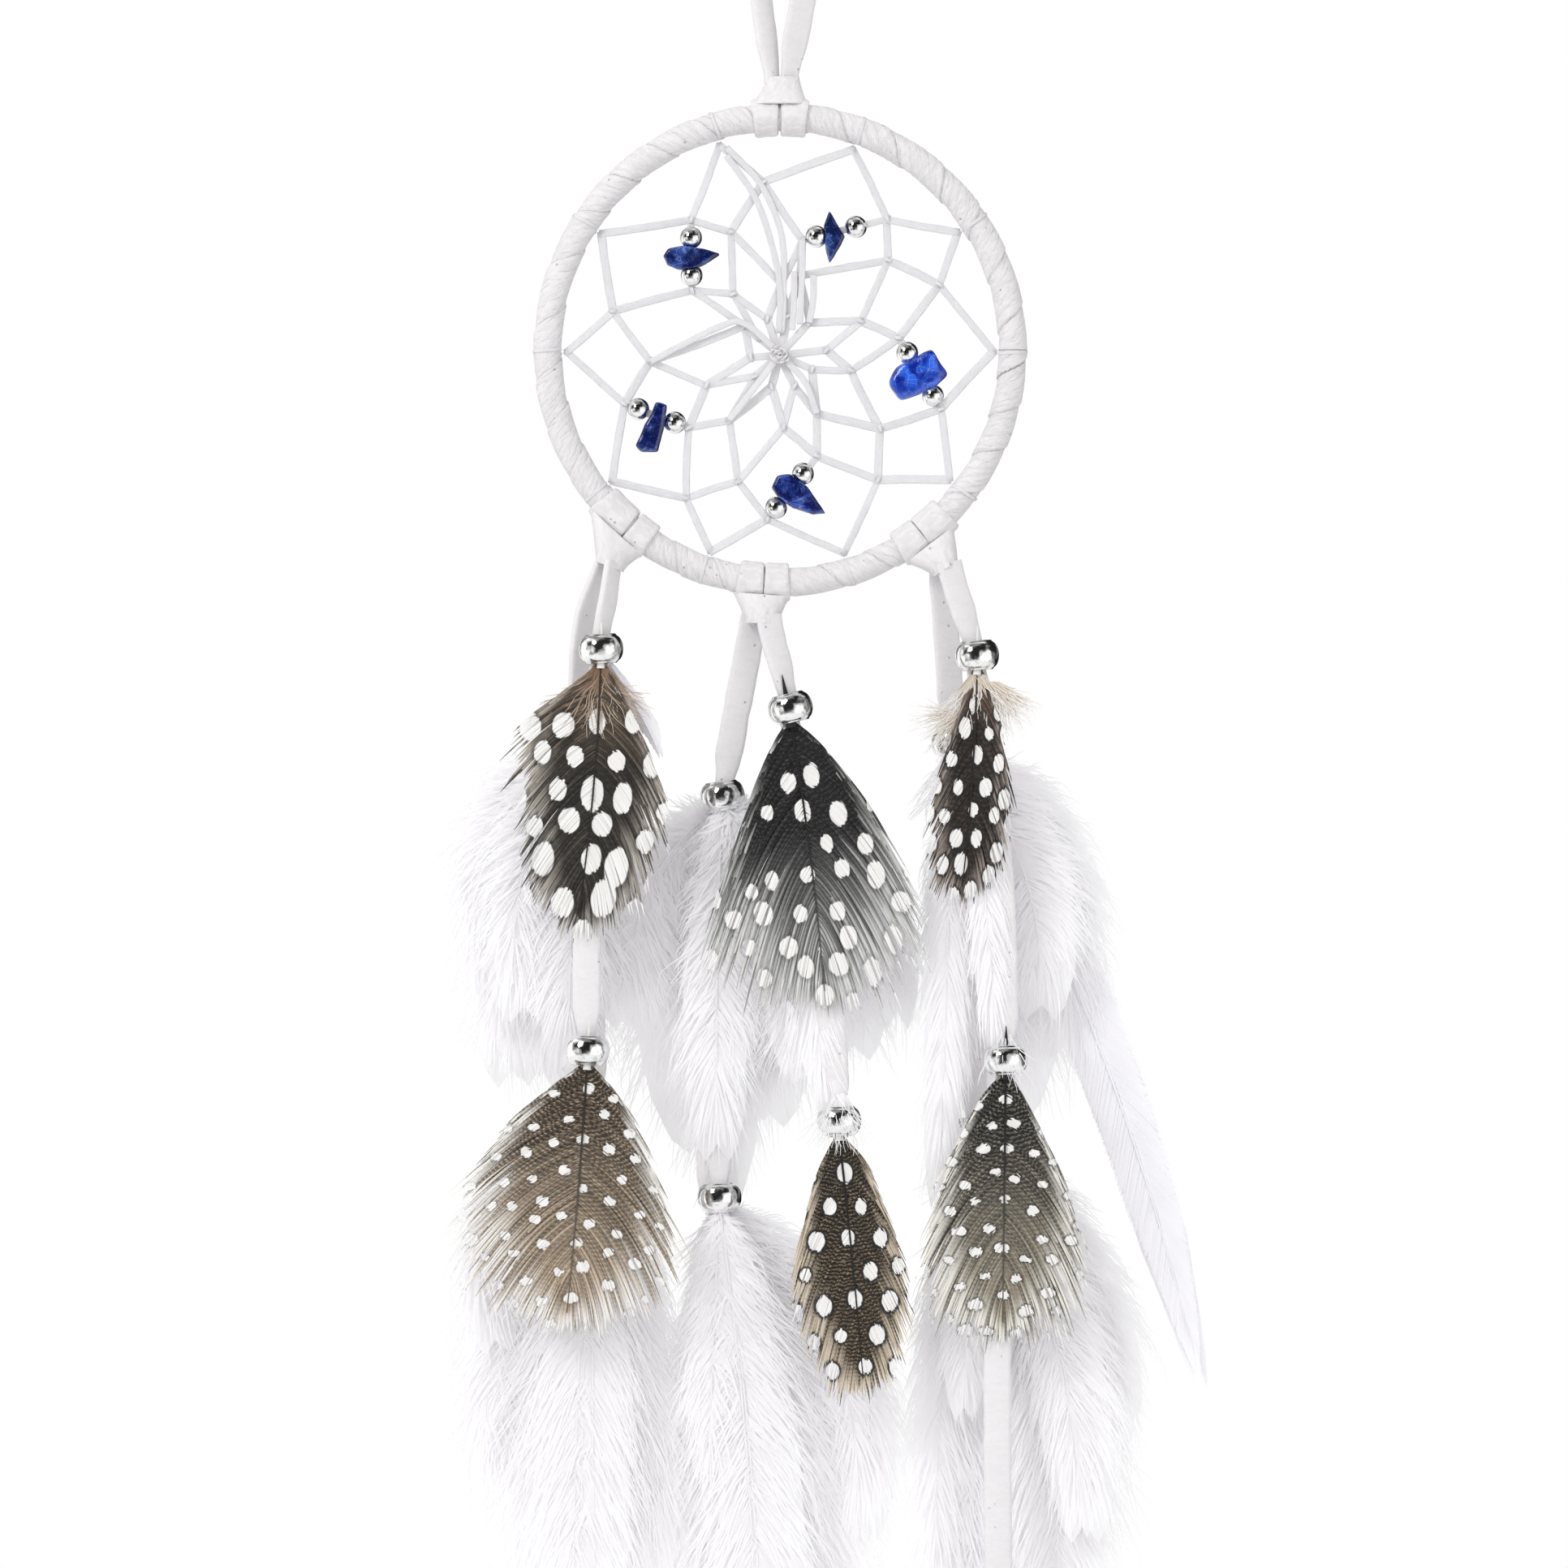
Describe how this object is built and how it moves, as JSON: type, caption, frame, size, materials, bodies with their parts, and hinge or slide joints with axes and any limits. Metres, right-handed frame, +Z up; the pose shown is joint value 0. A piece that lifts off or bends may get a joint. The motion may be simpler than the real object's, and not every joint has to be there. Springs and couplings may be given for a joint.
{
  "type": "dream catcher",
  "caption": "Hanging dream catcher: a lace-wrapped hoop with a knotted web, blue stone chips and silver balls, and beaded tails of spotted and white feathers.",
  "frame": {"origin": "top of the inside of the hanging loop, where a hook or nail goes", "axes": "+Z up, +Y away from the viewer, through the hoop, +X to the viewer's right"},
  "size_m": [0.1363, 0.0212, 0.3732],
  "materials": {
    "white_lace": "matte",
    "ring_metal": "satin",
    "web_thread": "matte",
    "blue_stone": "gloss",
    "silver_ball": "polished",
    "silver_bead": "polished",
    "spotted_feather": "matte",
    "white_plume": "matte"
  },
  "bodies": {
    "hanging_loop": {"hanging_lace": "white_lace"},
    "hanging_knot": {"hanging_knot": "white_lace"},
    "hoop": {"hoop_ring": "ring_metal", "hoop_wrap": "white_lace", "web_thread": "web_thread", "left_tie_knot": "white_lace", "centre_tie_knot": "white_lace", "right_tie_knot": "white_lace", "top_left_balls": "silver_ball", "top_right_balls": "silver_ball", "right_balls": "silver_ball", "bottom_balls": "silver_ball", "left_balls": "silver_ball"},
    "top_left_chip": {"top_left_chip": "blue_stone"},
    "top_right_chip": {"top_right_chip": "blue_stone"},
    "right_chip": {"right_chip": "blue_stone"},
    "bottom_chip": {"bottom_chip": "blue_stone"},
    "left_chip": {"left_chip": "blue_stone"},
    "left_front_upper": {"left_front_upper_lace": "white_lace", "left_front_upper_bead": "silver_bead", "left_front_upper_spotted_feather": "spotted_feather", "left_hackle": "white_plume"},
    "left_front_lower": {"left_front_lower_lace": "white_lace", "left_front_lower_bead": "silver_bead", "left_front_lower_spotted_feather": "spotted_feather"},
    "left_rear_upper": {"left_rear_upper_lace": "white_lace", "left_rear_upper_bead": "silver_bead", "left_rear_upper_white_plume": "white_plume"},
    "left_rear_lower": {"left_rear_lower_lace": "white_lace", "left_rear_lower_bead": "silver_bead", "left_rear_lower_white_plume": "white_plume"},
    "centre_front_upper": {"centre_front_upper_lace": "white_lace", "centre_front_upper_bead": "silver_bead", "centre_front_upper_spotted_feather": "spotted_feather"},
    "centre_front_lower": {"centre_front_lower_lace": "white_lace", "centre_front_lower_bead": "silver_bead", "centre_front_lower_spotted_feather": "spotted_feather"},
    "centre_rear_upper": {"centre_rear_upper_lace": "white_lace", "centre_rear_upper_bead": "silver_bead", "centre_rear_upper_white_plume": "white_plume"},
    "centre_rear_lower": {"centre_rear_lower_lace": "white_lace", "centre_rear_lower_bead": "silver_bead", "centre_rear_lower_white_plume": "white_plume"},
    "right_front_upper": {"right_front_upper_lace": "white_lace", "right_front_upper_bead": "silver_bead", "right_front_upper_spotted_feather": "spotted_feather"},
    "right_front_lower": {"right_front_lower_lace": "white_lace", "right_front_lower_bead": "silver_bead", "right_front_lower_spotted_feather": "spotted_feather"},
    "right_rear_upper": {"right_rear_upper_lace": "white_lace", "right_rear_upper_bead": "silver_bead", "right_rear_upper_white_plume": "white_plume", "right_hackle": "white_plume"},
    "right_rear_lower": {"right_rear_lower_lace": "white_lace", "right_rear_lower_bead": "silver_bead", "right_rear_lower_white_plume": "white_plume"}
  },
  "joints": [
    {"name": "hoop_twist", "type": "hinge", "parent": "hanging_loop", "child": "hanging_knot", "pos_m": [0, 0, -0.0645], "axis": [0, 0, 1], "range_deg": [-90, 90]},
    {"name": "hoop_swing", "type": "hinge", "parent": "hanging_knot", "child": "hoop", "pos_m": [0, 0, -0.0726], "axis": [1, 0, 0], "range_deg": [-45, 45]},
    {"name": "top_left_chip_spin", "type": "hinge", "parent": "hoop", "child": "top_left_chip", "pos_m": [-0.0162, 0, -0.098], "axis": [0.0155, 0, -0.9999], "continuous": true},
    {"name": "top_right_chip_spin", "type": "hinge", "parent": "hoop", "child": "top_right_chip", "pos_m": [0.01022, 0, -0.09348], "axis": [0.9712, 0, 0.2381], "continuous": true},
    {"name": "right_chip_spin", "type": "hinge", "parent": "hoop", "child": "right_chip", "pos_m": [0.02552, 0, -0.11947], "axis": [0.5125, 0, -0.8587], "continuous": true},
    {"name": "bottom_chip_spin", "type": "hinge", "parent": "hoop", "child": "bottom_chip", "pos_m": [0.0017, 0, -0.14071], "axis": [-0.6205, 0, -0.7842], "continuous": true},
    {"name": "left_chip_spin", "type": "hinge", "parent": "hoop", "child": "left_chip", "pos_m": [-0.02253, 0, -0.12706], "axis": [0.9386, 0, -0.345], "continuous": true},
    {"name": "left_front_swing", "type": "hinge", "parent": "hoop", "child": "left_front_upper", "pos_m": [-0.0304, -0.0041, -0.1555], "axis": [-1, 0, 0], "range_deg": [0, 60]},
    {"name": "left_front_lower_swing", "type": "hinge", "parent": "left_front_upper", "child": "left_front_lower", "pos_m": [-0.0326, -0.0041, -0.1734], "axis": [-1, 0, 0], "range_deg": [-21, 0]},
    {"name": "left_rear_swing", "type": "hinge", "parent": "hoop", "child": "left_rear_upper", "pos_m": [-0.0314, 0.0041, -0.1555], "axis": [1, 0, 0], "range_deg": [0, 60]},
    {"name": "left_rear_lower_swing", "type": "hinge", "parent": "left_rear_upper", "child": "left_rear_lower", "pos_m": [-0.0368, 0.0041, -0.1888], "axis": [1, 0, 0], "range_deg": [-21, 0]},
    {"name": "centre_front_swing", "type": "hinge", "parent": "hoop", "child": "centre_front_upper", "pos_m": [-0.0018, -0.0041, -0.1657], "axis": [-1, 0, 0], "range_deg": [0, 60]},
    {"name": "centre_front_lower_swing", "type": "hinge", "parent": "centre_front_upper", "child": "centre_front_lower", "pos_m": [0.0019, -0.0041, -0.1842], "axis": [-1, 0, 0], "range_deg": [-21, 0]},
    {"name": "centre_rear_swing", "type": "hinge", "parent": "hoop", "child": "centre_rear_upper", "pos_m": [-0.0048, 0.0041, -0.1657], "axis": [1, 0, 0], "range_deg": [0, 60]},
    {"name": "centre_rear_lower_swing", "type": "hinge", "parent": "centre_rear_upper", "child": "centre_rear_lower", "pos_m": [-0.0105, 0.0041, -0.2002], "axis": [1, 0, 0], "range_deg": [-21, 0]},
    {"name": "right_front_swing", "type": "hinge", "parent": "hoop", "child": "right_front_upper", "pos_m": [0.0312, -0.0041, -0.1559], "axis": [-1, 0, 0], "range_deg": [0, 60]},
    {"name": "right_front_lower_swing", "type": "hinge", "parent": "right_front_upper", "child": "right_front_lower", "pos_m": [0.0358, -0.0041, -0.1746], "axis": [-1, 0, 0], "range_deg": [-21, 0]},
    {"name": "right_rear_swing", "type": "hinge", "parent": "hoop", "child": "right_rear_upper", "pos_m": [0.0298, 0.0041, -0.1559], "axis": [1, 0, 0], "range_deg": [0, 60]},
    {"name": "right_rear_lower_swing", "type": "hinge", "parent": "right_rear_upper", "child": "right_rear_lower", "pos_m": [0.0317, 0.0041, -0.1904], "axis": [1, 0, 0], "range_deg": [-21, 0]}
  ],
  "couplings": [
    {"joint": "left_front_lower_swing", "follows": "left_front_swing", "ratio": -0.35},
    {"joint": "left_rear_lower_swing", "follows": "left_rear_swing", "ratio": -0.35},
    {"joint": "centre_front_lower_swing", "follows": "centre_front_swing", "ratio": -0.35},
    {"joint": "centre_rear_lower_swing", "follows": "centre_rear_swing", "ratio": -0.35},
    {"joint": "right_front_lower_swing", "follows": "right_front_swing", "ratio": -0.35},
    {"joint": "right_rear_lower_swing", "follows": "right_rear_swing", "ratio": -0.35}
  ]
}
